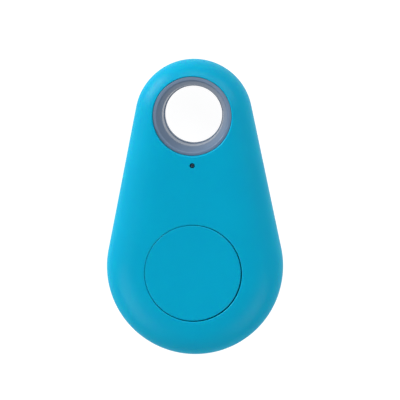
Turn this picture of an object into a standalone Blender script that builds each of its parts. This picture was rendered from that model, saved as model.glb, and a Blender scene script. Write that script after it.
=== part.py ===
"""A key-ring tracker tag: a teardrop case in two halves, a lined key hole, a button and a coin cell.

The tag lies on its back. +Z comes out of its front face and +Y points to the key-ring end. The origin is
under its middle, on the flat of its back. Blender units are metres.
"""

import math

import bmesh
import bpy
from mathutils import Matrix, Vector

MM = 0.001

# The outline: two arcs joined by their tangents.
BODY_LENGTH = 52.0 * MM
BODY_WIDTH = 31.0 * MM
BODY_THICKNESS = 11.0 * MM
WIDE_RADIUS = BODY_WIDTH / 2
NARROW_RADIUS = 10.25 * MM
WIDE_Y = WIDE_RADIUS - BODY_LENGTH / 2
NARROW_Y = BODY_LENGTH / 2 - NARROW_RADIUS
TANGENT_ANGLE = math.asin((WIDE_RADIUS - NARROW_RADIUS) / (NARROW_Y - WIDE_Y))

# The case: two crowned halves, with a tongue in a rebate where they meet.
WALL = 1.4 * MM
PARTING_Z = 5.2 * MM
PARTING_GAP = 0.1 * MM
FRONT_REACH, FRONT_POWER = 9.5 * MM, 3.2
REAR_REACH, REAR_POWER = 6.0 * MM, 2.6
CROWN_STEPS = 7
REBATE_INSET = 0.75 * MM
TONGUE_INSET = 0.9 * MM
TONGUE_DEPTH = 0.85 * MM
REBATE_DEPTH = 1.0 * MM
PRY_SLOT = (6.4 * MM, 1.1 * MM, 1.0 * MM)

# The key-ring hole and its liner.
HOLE_Y = 16.4 * MM
LINER_RADIUS = 6.9 * MM
LINER_THROAT = 5.0 * MM
LINER_LIP = 6.35 * MM
LINER_LOW, LINER_HIGH = 0.55 * MM, 10.3 * MM
LINER_FLANGE = (7.6 * MM, 4.95 * MM, 5.4 * MM)
HOLE_RADIUS = LINER_RADIUS + 0.1 * MM
HOLE_BOSS_RADIUS = 7.9 * MM

# The push button.
BUTTON_Y = -11.05 * MM
BUTTON_RADIUS = 8.33 * MM
BUTTON_HOLE_RADIUS = 8.52 * MM
BUTTON_TOP = 10.95 * MM
BUTTON_FLANGE = (9.3 * MM, 8.65 * MM, 9.35 * MM)
BUTTON_NUB_RADIUS = 1.5 * MM
POCKET_RADIUS = 9.55 * MM
POCKET_CEILING = 9.45 * MM
GUIDE_WALL = 0.8 * MM
GUIDE_LOW = 8.2 * MM
KEY_COUNT = 3
KEY_SIZE = (1.1 * MM, 1.6 * MM, 0.5 * MM)
KEY_NOTCH_SIZE = (2.2 * MM, 2.0 * MM, 1.4 * MM)
KEY_Z, KEY_NOTCH_Z = 8.95 * MM, 8.6 * MM

# The indicator hole and its light pipe.
INDICATOR_Y = 7.85 * MM
INDICATOR_HOLE_RADIUS = 0.46 * MM
LIGHT_PIPE_CLEARANCE = 0.04 * MM
LIGHT_PIPE_COLLAR_RADIUS, LIGHT_PIPE_COLLAR_DEPTH = 0.65 * MM, 0.4 * MM
LIGHT_PIPE_STEM_RADIUS = 0.45 * MM
LIGHT_PIPE_TOP = BODY_THICKNESS - 0.3 * MM
LIGHT_PIPE_END_GAP = 0.8 * MM

# The circuit board, and what stands on it.
BOARD_LOW, BOARD_HIGH = 5.7 * MM, 6.7 * MM
BOARD_INSET = WALL + 0.35 * MM
BOARD_TOP_Y = 9.5 * MM
BOARD_NECK_RADIUS = 8.3 * MM
BOARD_CORNER_RADIUS = 1.0 * MM
SEAT = 0.05 * MM
SCREW_PLACES = ((-9.3 * MM, 2.2 * MM), (9.3 * MM, 2.2 * MM), (0.0, -22.7 * MM))
SCREW_BOSS_RADIUS = 1.35 * MM
SCREW_RADIUS = 0.5 * MM
SCREW_HEAD_RADIUS = 1.05 * MM
SCREW_END = 8.8 * MM
SCREW_HEAD_HEIGHT = 0.6 * MM
CROSS_SLOT_SIZE = (1.1 * MM, 0.26 * MM, 0.6 * MM)

# The switch under the button.
SWITCH_SIDE = 4.4 * MM
SWITCH_LOW = BOARD_HIGH + SEAT
SWITCH_BASE_HIGH = SWITCH_LOW + 1.0 * MM
SWITCH_TOP = SWITCH_BASE_HIGH + 0.5 * MM
SWITCH_WELL_RADIUS = 1.75 * MM
PLUNGER_RADIUS, PLUNGER_SKIRT_RADIUS = 1.1 * MM, 1.55 * MM
DOME_RADIUS, DOME_SHEET = 1.6 * MM, 0.07 * MM
DOME_LOW = SWITCH_LOW + 0.25 * MM
DOME_HIGH = DOME_LOW + 0.36 * MM
COVER_SHEET = 0.15 * MM
COVER_LEG_WIDTH = 1.6 * MM

# The sounder.
BUZZER_Y = 3.2 * MM
BUZZER_SIDE, BUZZER_HEIGHT = 7.4 * MM, 2.5 * MM
BUZZER_BASE_HEIGHT = 0.5 * MM
BUZZER_ROOM_RADIUS, BUZZER_ROOF = 3.2 * MM, 0.35 * MM
BUZZER_PORT_RADIUS, BUZZER_PORT_OFFSET = 0.6 * MM, 1.6 * MM
MAGNET_RADII, MAGNET_HEIGHT = (2.2 * MM, 3.1 * MM), 0.9 * MM
COIL_RADII, COIL_HEIGHT = (0.75 * MM, 1.9 * MM), 0.8 * MM
CORE_RADIUS = 0.65 * MM
DIAPHRAGM_LIFT, DIAPHRAGM_SHEET = 1.1 * MM, 0.1 * MM

# The coin cell and its contacts.
CELL_RADIUS = 10.0 * MM
CELL_LOW, CELL_HIGH = 2.05 * MM, 5.25 * MM
CELL_RIM = CELL_HIGH - 0.45 * MM
CELL_MOUTH_RADIUS = 9.45 * MM
CELL_SEAL_RADII = (9.1 * MM, 9.4 * MM)
CELL_CAP_RADIUS, CELL_CAP_TOP_RADIUS = 9.05 * MM, 8.6 * MM
CELL_SHEET = 0.25 * MM
HOLDER_RADII = (10.2 * MM, 11.0 * MM)
HOLDER_LOW = 2.6 * MM
PEG_RADIUS = 0.35 * MM
CELL_RIB_SIZE = (12 * MM, 0.8 * MM)
CELL_RIB_OFFSET = 5.5 * MM
STRAP_WIDTH = 5.0 * MM
STRAP_THICKNESS = 0.2 * MM
STRAP_FOOT = 1.3 * MM
DISH_RADIUS, DISH_FLOOR_RADIUS, DISH_SHEET = 4.6 * MM, 1.6 * MM, 0.12 * MM

ROUND_STEPS = 48
SMALL_ROUND_STEPS = 16
ARC_STEP = math.radians(6)
SHARP_ANGLE = math.radians(30)


# ------------------------------------------------------------------------ scene and finish


def clear_scene():
    for obj in list(bpy.data.objects):
        bpy.data.objects.remove(obj)


def collection(name):
    made = bpy.data.collections.new(name)
    bpy.context.scene.collection.children.link(made)
    return made


clear_scene()
PARTS = collection("tracker_tag")
CUTTERS = collection("cutters")


def material(name, colour, roughness, metallic=0.0):
    """A Principled material, made once for each name."""
    made = bpy.data.materials.get(name)
    if made is None:
        made = bpy.data.materials.new(name)
        made.use_nodes = True
        shader = made.node_tree.nodes["Principled BSDF"]
        shader.inputs["Base Color"].default_value = (*colour, 1.0)
        shader.inputs["Roughness"].default_value = roughness
        shader.inputs["Metallic"].default_value = metallic
    return made


def case_blue():
    return material("case_blue", (0.0, 0.33, 0.56), 0.4)


def liner_grey():
    return material("liner_grey", (0.19, 0.23, 0.31), 0.25)


def smoked_clear():
    return material("smoked_clear", (0.01, 0.03, 0.05), 0.1)


def board_green():
    return material("board_green", (0.01, 0.12, 0.05), 0.45)


def black_plastic():
    return material("black_plastic", (0.015, 0.015, 0.017), 0.5)


def nickel_steel():
    return material("nickel_steel", (0.62, 0.61, 0.58), 0.28, 1.0)


def copper():
    return material("copper", (0.8, 0.5, 0.25), 0.35, 1.0)


def chip_ceramic():
    return material("chip_ceramic", (0.45, 0.33, 0.22), 0.6)


def white_plastic():
    return material("white_plastic", (0.8, 0.8, 0.76), 0.4)


# ------------------------------------------------------------------------ shapes


def put(name, mesh, finish, location=(0, 0, 0), parent=None):
    """An object in the tag's own collection, or a hidden helper where finish is None."""
    obj = bpy.data.objects.new(name, mesh)
    obj.location = location
    obj.parent = parent
    if finish is None:
        CUTTERS.objects.link(obj)
        obj.hide_render = True
        obj.display_type = "WIRE"
    else:
        PARTS.objects.link(obj)
        mesh.materials.clear()
        mesh.materials.append(finish)
    return obj


def body_empty(name, location):
    """The frame of a body that moves, on its joint's axis."""
    empty = bpy.data.objects.new(name, None)
    empty.location = location
    PARTS.objects.link(empty)
    return empty


def turned(name, profile, finish=None, place=(0, 0), parent=None, closed=False, steps=ROUND_STEPS):
    """A shape turned about the vertical through place.

    The profile is (radius, height) points that run down its outer side first.
    """
    mesh = bpy.data.meshes.new(name)
    count = len(profile)
    edges = [(i, i + 1) for i in range(count - 1)] + ([(count - 1, 0)] if closed else [])
    mesh.from_pydata([(r, 0, z) for r, z in profile], edges, [])
    obj = put(name, mesh, finish, (*place, 0), parent)
    screw = obj.modifiers.new("turn", "SCREW")
    screw.steps = screw.render_steps = steps
    screw.use_merge_vertices = True
    screw.merge_threshold = 1e-6
    return obj


def pin(name, radius, low, high, finish=None, place=(0, 0), parent=None, steps=ROUND_STEPS):
    """A plain round pin, standing."""
    profile = [(0, high), (radius, high), (radius, low), (0, low)]
    return turned(name, profile, finish, place, parent, steps=steps)


def small_pin(name, radius, low, high, place):
    """A helper pin with fewer sides."""
    return pin(name, radius, low, high, place=place, steps=SMALL_ROUND_STEPS)


def pipe(name, inner, outer, low, high, finish=None, place=(0, 0), parent=None, steps=ROUND_STEPS):
    """A plain round pipe, standing."""
    profile = [(inner, high), (outer, high), (outer, low), (inner, low)]
    return turned(name, profile, finish, place, parent, closed=True, steps=steps)


def block(name, size, centre, finish=None, parent=None, rounding=0.0):
    """A box with its standing edges rounded."""
    mesh = bpy.data.meshes.new(name)
    shape = bmesh.new()
    bmesh.ops.create_cube(shape, size=1.0, matrix=Matrix.Diagonal((*size, 1.0)))
    if rounding:
        standing = [e for e in shape.edges if abs(e.verts[0].co.z - e.verts[1].co.z) > 1e-6]
        bmesh.ops.bevel(shape, geom=standing, offset=rounding, segments=2, profile=0.5, affect="EDGES")
    shape.to_mesh(mesh)
    shape.free()
    return put(name, mesh, finish, centre, parent)


def plate(name, outlines, low, high, finish=None, parent=None):
    """A flat piece between two heights. The first outline is its edge, and any others are holes in it."""
    curve = bpy.data.curves.new(name, "CURVE")
    curve.dimensions = "2D"
    curve.fill_mode = "BOTH"
    curve.extrude = (high - low) / 2
    for points in outlines:
        spline = curve.splines.new("POLY")
        spline.points.add(len(points) - 1)
        for point, (x, y) in zip(spline.points, points):
            point.co = (x, y, 0, 1)
        spline.use_cyclic_u = True
    drawn = bpy.data.objects.new(name + "_curve", curve)
    CUTTERS.objects.link(drawn)
    drawn.location = (0, 0, (low + high) / 2)
    return meshed(name, drawn, finish, parent)


def meshed(name, drawn, finish, parent=None):
    """The mesh of a curve object, with its caps welded on, in the curve's place."""
    bpy.context.view_layer.update()
    graph = bpy.context.evaluated_depsgraph_get()
    mesh = bpy.data.meshes.new_from_object(drawn.evaluated_get(graph))
    shape = bmesh.new()
    shape.from_mesh(mesh)
    bmesh.ops.remove_doubles(shape, verts=shape.verts, dist=1e-7)
    bmesh.ops.recalc_face_normals(shape, faces=shape.faces)
    shape.to_mesh(mesh)
    shape.free()
    place = drawn.matrix_world.copy()
    bpy.data.objects.remove(drawn)
    obj = put(name, mesh, finish)
    obj.matrix_world = place
    obj.parent = parent
    if parent:
        obj.location = Vector(obj.location) - parent.location
    return obj


def boolean(obj, operation, others):
    """Boolean modifiers with the MANIFOLD solver, because EXACT drops slim faces from the shells."""
    for other in others:
        step = obj.modifiers.new(operation.lower() + "_" + other.name, "BOOLEAN")
        step.operation = operation
        step.solver = "MANIFOLD"
        step.object = other


def cut(obj, *cutters):
    boolean(obj, "DIFFERENCE", cutters)


def join(obj, *pieces):
    boolean(obj, "UNION", pieces)


def arc(centre, radius, start, end, step=ARC_STEP):
    """Points along an arc, with both its ends and its middle. The angles run from +X towards +Y."""
    count = 2 * max(1, round(abs(end - start) / step / 2))
    angles = [start + (end - start) * i / count for i in range(count + 1)]
    return [(centre[0] + radius * math.cos(a), centre[1] + radius * math.sin(a)) for a in angles]


def outline(inset):
    """The teardrop, moved inwards by inset, anticlockwise from the right-hand side of its narrow end."""
    left = math.pi - TANGENT_ANGLE
    narrow = arc((0, NARROW_Y), NARROW_RADIUS - inset, TANGENT_ANGLE, left)
    wide = arc((0, WIDE_Y), WIDE_RADIUS - inset, left, 2 * math.pi + TANGENT_ANGLE)
    return narrow + wide


def ribbon(path, width):
    """The outline of a flat track of even width along a path of straight runs."""
    sides = ([], [])
    for i, point in enumerate(path):
        before = Vector(path[max(i - 1, 0)])
        after = Vector(path[min(i + 1, len(path) - 1)])
        here = Vector(point)
        runs = [v.normalized() for v in (here - before, after - here) if v.length > 0]
        normals = [Vector((-run.y, run.x)) for run in runs]
        across = sum(normals, Vector((0, 0)))
        across *= width / across.dot(across) if len(normals) == 2 else width / 2
        sides[0].append(tuple(here + across))
        sides[1].append(tuple(here - across))
    return sides[0] + sides[1][::-1]


# ------------------------------------------------------------------------ case


def crown_profile(start, end, power):
    """(inset, height) points from a case half's wall to its flat middle: a quarter of a superellipse."""
    points = []
    for i in range(CROWN_STEPS + 1):
        angle = math.pi / 2 * i / CROWN_STEPS
        inset = end[0] - (end[0] - start[0]) * math.cos(angle) ** (2 / power)
        points.append((inset, start[1] + (end[1] - start[1]) * math.sin(angle) ** (2 / power)))
    return points


def shell_loft(name, profile, finish):
    """A case half: the teardrop at each (inset, height) of its wall's section, joined and closed at its ends."""
    mesh = bpy.data.meshes.new(name)
    shape = bmesh.new()
    rings = [[shape.verts.new((x, y, height)) for x, y in outline(inset)] for inset, height in profile]
    for ring, following in zip(rings, rings[1:]):
        for i, vert in enumerate(ring):
            shape.faces.new((ring[i - 1], vert, following[i], following[i - 1]))
    shape.faces.new(rings[0])
    shape.faces.new(rings[-1])
    bmesh.ops.recalc_face_normals(shape, faces=shape.faces)
    shape.to_mesh(mesh)
    shape.free()
    return put(name, mesh, finish)


def front_shell(body):
    """The front half: crowned face, tongue, key-hole boss, button guide and screw bosses."""
    edge = PARTING_Z + PARTING_GAP / 2
    ceiling = BODY_THICKNESS - WALL
    tongue_low = PARTING_Z - TONGUE_DEPTH
    outside = crown_profile((0, edge), (FRONT_REACH, BODY_THICKNESS), FRONT_POWER)
    inside = crown_profile((WALL, edge), (FRONT_REACH, ceiling), FRONT_POWER)
    tongue = [(TONGUE_INSET, edge), (TONGUE_INSET, tongue_low), (WALL, tongue_low)]
    shell = shell_loft("front_shell", outside[::-1] + tongue + inside, case_blue())

    boss_high = ceiling + 0.1 * MM
    above = BODY_THICKNESS + 1 * MM
    button_place, hole_place = (0, BUTTON_Y), (0, HOLE_Y)
    guide = pin("button_guide", POCKET_RADIUS + GUIDE_WALL, GUIDE_LOW, boss_high, place=button_place)
    flange_high = LINER_FLANGE[2] + SEAT
    hole_boss = pin("front_hole_boss", HOLE_BOSS_RADIUS, flange_high, boss_high, place=hole_place)
    join(shell, guide, hole_boss)
    boss_low = BOARD_HIGH + SEAT
    for i, place in enumerate(SCREW_PLACES):
        join(shell, small_pin(f"screw_boss_{i + 1}", SCREW_BOSS_RADIUS, boss_low, boss_high, place))

    stepped = [
        (0, above),
        (BUTTON_HOLE_RADIUS, above),
        (BUTTON_HOLE_RADIUS, POCKET_CEILING),
        (POCKET_RADIUS, POCKET_CEILING),
        (POCKET_RADIUS, GUIDE_LOW - 1 * MM),
        (0, GUIDE_LOW - 1 * MM),
    ]
    cut(
        shell,
        turned("button_opening", stepped, place=button_place),
        pin("front_liner_hole", HOLE_RADIUS, PARTING_Z - 2 * MM, above, place=hole_place),
        small_pin("indicator_hole", INDICATOR_HOLE_RADIUS, ceiling - 1 * MM, above, (0, INDICATOR_Y)),
    )
    pilot_end = SCREW_END + 0.2 * MM
    for i, place in enumerate(SCREW_PLACES):
        cut(shell, small_pin(f"screw_pilot_{i + 1}", SCREW_RADIUS + SEAT, PARTING_Z, pilot_end, place))
    for i in range(KEY_COUNT):
        notch = block(f"key_notch_{i + 1}", KEY_NOTCH_SIZE, (0, 0, 0))
        place_key(notch, i, POCKET_RADIUS + GUIDE_WALL / 2, KEY_NOTCH_Z)
        cut(shell, notch)
    shell.parent = body


def place_key(obj, number, radius, height):
    """Turns a key, or its notch, to its place around the button."""
    angle = math.pi / 2 + 2 * math.pi * number / KEY_COUNT
    obj.location = (radius * math.cos(angle), BUTTON_Y + radius * math.sin(angle), height)
    obj.rotation_euler.z = angle


def rear_shell():
    """The rear half: flat back, rebate for the tongue, key-hole boss, ribs under the cell, pry slot."""
    edge = PARTING_Z - PARTING_GAP / 2
    rebate_low = PARTING_Z - REBATE_DEPTH
    outside = crown_profile((0, edge), (REAR_REACH, 0), REAR_POWER)
    inside = crown_profile((WALL, rebate_low), (REAR_REACH, WALL), REAR_POWER)
    rebate = [(REBATE_INSET, edge), (REBATE_INSET, rebate_low)]
    shell = shell_loft("rear_shell", outside[::-1] + rebate + inside, case_blue())

    hole_place = (0, HOLE_Y)
    boss_low, boss_high = WALL - 0.2 * MM, LINER_FLANGE[1] - SEAT
    join(shell, pin("rear_hole_boss", HOLE_BOSS_RADIUS, boss_low, boss_high, place=hole_place))
    rib_low, rib_high = WALL - 0.3 * MM, CELL_LOW - 0.1 * MM
    for i, offset in enumerate((-CELL_RIB_OFFSET, CELL_RIB_OFFSET)):
        size = (CELL_RIB_SIZE[0], CELL_RIB_SIZE[1], rib_high - rib_low)
        join(shell, block(f"cell_rib_{i + 1}", size, (0, WIDE_Y + offset, (rib_low + rib_high) / 2)))
    slot_middle = PARTING_Z - PRY_SLOT[2] / 2 + 0.2 * MM
    cut(
        shell,
        pin("rear_liner_hole", HOLE_RADIUS, -1 * MM, PARTING_Z + 1 * MM, place=hole_place),
        block("pry_slot", PRY_SLOT, (0, -BODY_LENGTH / 2, slot_middle)),
    )


def key_hole_liner(body):
    """The key-ring hole's liner: a waisted tube with rounded lips and a flange held between the halves."""
    middle = (LINER_LOW + LINER_HIGH) / 2
    half = (LINER_HIGH - LINER_LOW) / 2
    waist_steps = 8
    lip = 0.25 * MM
    corner_in, corner_down = 0.08 * MM, 0.09 * MM
    outer = [
        (LINER_LIP + lip, LINER_HIGH),
        (LINER_RADIUS - corner_in, LINER_HIGH - corner_down),
        (LINER_RADIUS, LINER_HIGH - lip),
        (LINER_RADIUS, LINER_FLANGE[2]),
        (LINER_FLANGE[0], LINER_FLANGE[2]),
        (LINER_FLANGE[0], LINER_FLANGE[1] + SEAT),
        (LINER_RADIUS, LINER_FLANGE[1] + SEAT),
        (LINER_RADIUS, LINER_LOW + lip),
        (LINER_RADIUS - corner_in, LINER_LOW + corner_down),
        (LINER_LIP + lip, LINER_LOW),
    ]
    waist = []
    for i in range(waist_steps + 1):
        angle = math.pi * i / waist_steps
        radius = LINER_LIP - (LINER_LIP - LINER_THROAT) * math.sin(angle)
        waist.append((radius, middle - half * math.cos(angle)))
    return turned("key_hole_liner", outer + waist, liner_grey(), (0, HOLE_Y), body, closed=True)


# ------------------------------------------------------------------------ button and light


def button_cap(body):
    """The push button: crowned disc, flange that holds it in, keys that stop it turning, and its nub."""
    flange_radius, flange_low, flange_high = BUTTON_FLANGE
    edge = 0.15 * MM
    crown_drop = 0.06 * MM
    profile = [
        (0, BUTTON_TOP),
        (BUTTON_RADIUS * 0.6, BUTTON_TOP - crown_drop / 3),
        (BUTTON_RADIUS - edge, BUTTON_TOP - crown_drop),
        (BUTTON_RADIUS - edge * 0.3, BUTTON_TOP - crown_drop - edge * 0.3),
        (BUTTON_RADIUS, BUTTON_TOP - crown_drop - edge),
        (BUTTON_RADIUS, flange_high),
        (flange_radius, flange_high),
        (flange_radius, flange_low),
        (BUTTON_NUB_RADIUS, flange_low),
        (BUTTON_NUB_RADIUS, SWITCH_TOP + SEAT),
        (0, SWITCH_TOP + SEAT),
    ]
    cap = turned("button_cap", profile, case_blue(), parent=body)
    for i in range(KEY_COUNT):
        key = block(f"button_key_{i + 1}", KEY_SIZE, (0, 0, 0))
        place_key(key, i, flange_radius + 0.1 * MM, KEY_Z)
        join(cap, key)
    return cap


def light_pipe(body):
    """The smoked pin that carries the indicator's light to the front face."""
    ceiling = BODY_THICKNESS - WALL
    window = INDICATOR_HOLE_RADIUS - LIGHT_PIPE_CLEARANCE
    low = BOARD_HIGH + LIGHT_PIPE_END_GAP
    profile = [
        (0, LIGHT_PIPE_TOP),
        (window, LIGHT_PIPE_TOP - 0.05 * MM),
        (window, ceiling - SEAT),
        (LIGHT_PIPE_COLLAR_RADIUS, ceiling - SEAT),
        (LIGHT_PIPE_COLLAR_RADIUS, ceiling - LIGHT_PIPE_COLLAR_DEPTH),
        (LIGHT_PIPE_STEM_RADIUS, ceiling - LIGHT_PIPE_COLLAR_DEPTH - 0.1 * MM),
        (LIGHT_PIPE_STEM_RADIUS, low),
        (0, low),
    ]
    return turned("light_pipe", profile, smoked_clear(), (0, INDICATOR_Y), body, steps=SMALL_ROUND_STEPS)


# ------------------------------------------------------------------------ circuit board


def board_outline():
    """The board fills the case's wide end. Its top edge curves around the key-hole boss."""
    wide = arc((0, WIDE_Y), WIDE_RADIUS - BOARD_INSET, math.pi - TANGENT_ANGLE, 2 * math.pi + TANGENT_ANGLE)
    corner_y = BOARD_TOP_Y - BOARD_CORNER_RADIUS
    reach = WIDE_RADIUS - BOARD_INSET - BOARD_CORNER_RADIUS - (corner_y - WIDE_Y) * math.sin(TANGENT_ANGLE)
    corner_x = reach / math.cos(TANGENT_ANGLE)
    neck_half = math.acos((HOLE_Y - BOARD_TOP_Y) / BOARD_NECK_RADIUS)
    down = -math.pi / 2
    neck = arc((0, HOLE_Y), BOARD_NECK_RADIUS, down + neck_half, down - neck_half)
    step, up, radius = math.radians(15), math.pi / 2, BOARD_CORNER_RADIUS
    right_corner = arc((corner_x, corner_y), radius, TANGENT_ANGLE, up, step)
    left_corner = arc((-corner_x, corner_y), radius, up, math.pi - TANGENT_ANGLE, step)
    return wide + right_corner + neck + left_corner


def circuit_board(body):
    board = plate("circuit_board", (board_outline(),), BOARD_LOW, BOARD_HIGH, board_green(), body)
    below, above = BOARD_LOW - 1 * MM, BOARD_HIGH + 1 * MM
    for i, place in enumerate(SCREW_PLACES):
        cut(board, small_pin(f"board_hole_{i + 1}", SCREW_RADIUS + 0.2 * MM, below, above, place))
    for i, place in enumerate(holder_pegs()):
        cut(board, small_pin(f"board_peg_hole_{i + 1}", PEG_RADIUS + 0.2 * MM, below, above, place))
    return board


def board_screws(body):
    """Three cross-head screws, put in from behind, that hold the board to the front half."""
    head_low = BOARD_LOW - SEAT - SCREW_HEAD_HEIGHT
    for i, place in enumerate(SCREW_PLACES):
        profile = [
            (0, SCREW_END),
            (SCREW_RADIUS * 0.4, SCREW_END),
            (SCREW_RADIUS, SCREW_END - 0.4 * MM),
            (SCREW_RADIUS, BOARD_LOW - SEAT),
            (SCREW_HEAD_RADIUS, BOARD_LOW - SEAT),
            (SCREW_HEAD_RADIUS, head_low + 0.2 * MM),
            (SCREW_HEAD_RADIUS * 0.8, head_low),
            (0, head_low),
        ]
        name = f"board_screw_{i + 1}"
        screw = turned(name, profile, nickel_steel(), place, body, steps=SMALL_ROUND_STEPS)
        for turn in (0, 1):
            slot = block(f"cross_slot_{i + 1}_{turn}", CROSS_SLOT_SIZE, (*place, head_low))
            slot.rotation_euler.z = turn * math.pi / 2
            cut(screw, slot)


def tactile_switch(body, plunger_body):
    """The switch under the button: moulded base, snap dome, plunger and the steel cover over them."""
    place = (0, BUTTON_Y)
    above = BODY_THICKNESS
    size = (SWITCH_SIDE, SWITCH_SIDE, SWITCH_BASE_HIGH - SWITCH_LOW)
    centre = (*place, (SWITCH_LOW + SWITCH_BASE_HIGH) / 2)
    base = block("switch_base", size, centre, black_plastic(), body, rounding=0.3 * MM)
    cut(base, pin("switch_well", SWITCH_WELL_RADIUS, DOME_LOW - SEAT, above, place=place, steps=32))

    rise = DOME_HIGH - DOME_LOW - DOME_SHEET
    dome_steps = 5
    over = []
    for i in range(dome_steps + 1):
        angle = math.pi / 2 * i / dome_steps
        over.append((DOME_RADIUS * math.sin(angle), DOME_LOW + DOME_SHEET + rise * math.cos(angle)))
    under = [(r, z - DOME_SHEET) for r, z in over[::-1]]
    turned("switch_dome", over + under, nickel_steel(), place, body, steps=32)

    skirt_high = SWITCH_BASE_HIGH - SEAT
    edge = 0.1 * MM
    profile = [
        (0, SWITCH_TOP),
        (PLUNGER_RADIUS - edge, SWITCH_TOP),
        (PLUNGER_RADIUS, SWITCH_TOP - edge),
        (PLUNGER_RADIUS, skirt_high),
        (PLUNGER_SKIRT_RADIUS, skirt_high),
        (PLUNGER_SKIRT_RADIUS, DOME_HIGH + SEAT),
        (0, DOME_HIGH + SEAT),
    ]
    turned("switch_plunger", profile, black_plastic(), parent=plunger_body, steps=32)
    switch_cover(body)


def switch_cover(body):
    """The switch's steel cover: a plate with the plunger's hole, and a leg down each side."""
    place = (0, BUTTON_Y)
    low = SWITCH_BASE_HIGH + 0.03 * MM
    high = low + COVER_SHEET
    middle = (low + high) / 2
    size = (SWITCH_SIDE, SWITCH_SIDE, COVER_SHEET)
    cover = block("switch_cover", size, (*place, middle), nickel_steel(), body, rounding=0.3 * MM)
    hole_radius = PLUNGER_RADIUS + 0.08 * MM
    cut(cover, pin("cover_hole", hole_radius, BOARD_LOW, BODY_THICKNESS, place=place, steps=32))
    leg_size = (COVER_SHEET, COVER_LEG_WIDTH, high - SWITCH_LOW)
    bridge_size = (0.5 * MM, COVER_LEG_WIDTH, COVER_SHEET - 0.01 * MM)
    for side in (-1, 1):
        leg_x = side * (SWITCH_SIDE / 2 + 0.12 * MM)
        leg = block(f"cover_leg_{side}", leg_size, (leg_x, BUTTON_Y, (high + SWITCH_LOW) / 2))
        bridge = block(f"cover_bridge_{side}", bridge_size, (side * SWITCH_SIDE / 2, BUTTON_Y, middle))
        join(cover, bridge, leg)


def buzzer(body):
    """The magnetic sounder: a moulded case over a coil on its core, a ring magnet and a steel diaphragm."""
    place = (0, BUZZER_Y)
    low = BOARD_HIGH + SEAT
    high = low + BUZZER_HEIGHT
    base_high = low + BUZZER_BASE_HEIGHT
    inside = base_high + SEAT
    corner = 0.6 * MM
    base_size = (BUZZER_SIDE, BUZZER_SIDE, BUZZER_BASE_HEIGHT)
    base_centre = (*place, (low + base_high) / 2)
    block("buzzer_base", base_size, base_centre, nickel_steel(), body, rounding=corner)
    case_size = (BUZZER_SIDE, BUZZER_SIDE, high - inside)
    case_centre = (*place, (high + inside) / 2)
    case = block("buzzer_case", case_size, case_centre, black_plastic(), body, rounding=corner)
    port_place = (0, BUZZER_Y + BUZZER_PORT_OFFSET)
    cut(
        case,
        pin("buzzer_room", BUZZER_ROOM_RADIUS, low, high - BUZZER_ROOF, place=place),
        small_pin("buzzer_port", BUZZER_PORT_RADIUS, low, high + 1 * MM, port_place),
    )
    pipe("buzzer_magnet", *MAGNET_RADII, inside, inside + MAGNET_HEIGHT, black_plastic(), place, body)
    pipe("buzzer_coil", *COIL_RADII, inside, inside + COIL_HEIGHT, copper(), place, body)
    core_high = inside + MAGNET_HEIGHT
    pin("buzzer_core", CORE_RADIUS, inside, core_high, nickel_steel(), place, body, SMALL_ROUND_STEPS)
    sheet_low = base_high + DIAPHRAGM_LIFT
    sheet_high = sheet_low + DIAPHRAGM_SHEET
    pin("buzzer_diaphragm", MAGNET_RADII[1], sheet_low, sheet_high, nickel_steel(), place, body)


def antenna_path():
    """The centre line of the printed antenna: a feed that runs up into a meander of four runs."""
    left, low, high, pitch = 5.4 * MM, 5.2 * MM, 8.6 * MM, 0.9 * MM
    feed_low = 3.4 * MM
    run_count = 4
    path = [(left, feed_low)]
    for turn in range(run_count):
        x = left + turn * pitch
        ends = (low, high) if turn % 2 == 0 else (high, low)
        path += [(x, ends[0]), (x, ends[1])]
    return path[:1] + path[2:]


SMALL_PARTS = (
    # name, size and centre on the board in millimetres, finish
    ("radio_chip", (5.0, 5.0, 0.85), (-6.4, -6.6), black_plastic),
    ("radio_crystal", (3.2, 2.5, 0.75), (-6.4, -12.0), nickel_steel),
    ("clock_crystal", (2.0, 1.2, 0.6), (-6.4, -15.2), nickel_steel),
    ("driver_transistor", (2.9, 1.3, 1.0), (6.2, -5.2), black_plastic),
    ("flyback_diode", (1.7, 1.25, 0.9), (6.2, -2.4), black_plastic),
    ("supply_inductor", (2.0, 1.6, 1.2), (6.6, -9.4), chip_ceramic),
    ("antenna_capacitor_1", (1.0, 0.5, 0.5), (5.4, 2.3), chip_ceramic),
    ("antenna_capacitor_2", (1.0, 0.5, 0.5), (5.4, 1.2), chip_ceramic),
    ("supply_capacitor_1", (1.6, 0.8, 0.8), (6.4, -12.4), chip_ceramic),
    ("supply_capacitor_2", (1.6, 0.8, 0.8), (6.4, -14.4), chip_ceramic),
    ("crystal_capacitor_1", (1.0, 0.5, 0.5), (-9.6, -11.4), chip_ceramic),
    ("crystal_capacitor_2", (1.0, 0.5, 0.5), (-9.6, -12.6), chip_ceramic),
    ("led_resistor", (1.0, 0.5, 0.5), (-2.6, 7.7), black_plastic),
    ("driver_resistor", (1.0, 0.5, 0.5), (9.4, -5.2), black_plastic),
    ("pull_up_resistor", (1.0, 0.5, 0.5), (-4.4, -16.8), black_plastic),
)


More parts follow.
